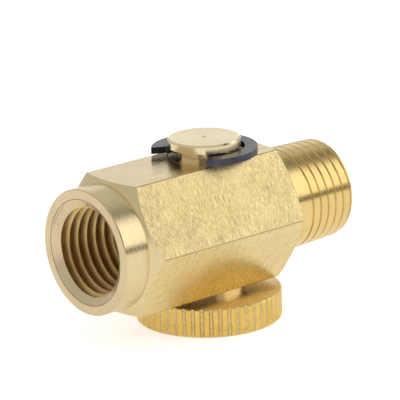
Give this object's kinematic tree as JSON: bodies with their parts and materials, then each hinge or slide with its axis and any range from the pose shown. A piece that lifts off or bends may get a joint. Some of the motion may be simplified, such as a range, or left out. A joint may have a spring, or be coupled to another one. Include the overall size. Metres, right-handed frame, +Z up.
{
  "type": "air flow control valve",
  "caption": "In-line rotary throttle valve: hexagonal brass body, female inlet, male outlet, and a cross-drilled stem with a knurled thumbwheel held by a retaining ring.",
  "frame": {"origin": "centre of the inlet port's mouth, on the pipe axis", "axes": "+X along the pipe axis from inlet to outlet, +Z up the stem from the thumbwheel to the clipped end, +Y across the hexagon's corners"},
  "size_m": [0.0413, 0.0202, 0.0245],
  "materials": {
    "body_brass": "machined, satin flats with turned ends",
    "stem_brass": "turned, straight-knurled rim",
    "ring_steel": "black oxide spring steel",
    "seal_rubber": "smooth"
  },
  "bodies": {
    "valve_body": {"valve_body": "body_brass"},
    "stem": {"throttle_stem": "stem_brass", "retaining_ring": "ring_steel", "upper_o_ring": "seal_rubber", "lower_o_ring": "seal_rubber"}
  },
  "joints": [
    {"name": "stem_turn", "type": "hinge", "parent": "valve_body", "child": "stem", "pos_m": [0.0207, 0, 0], "axis": [0, 0, 1], "continuous": true}
  ]
}
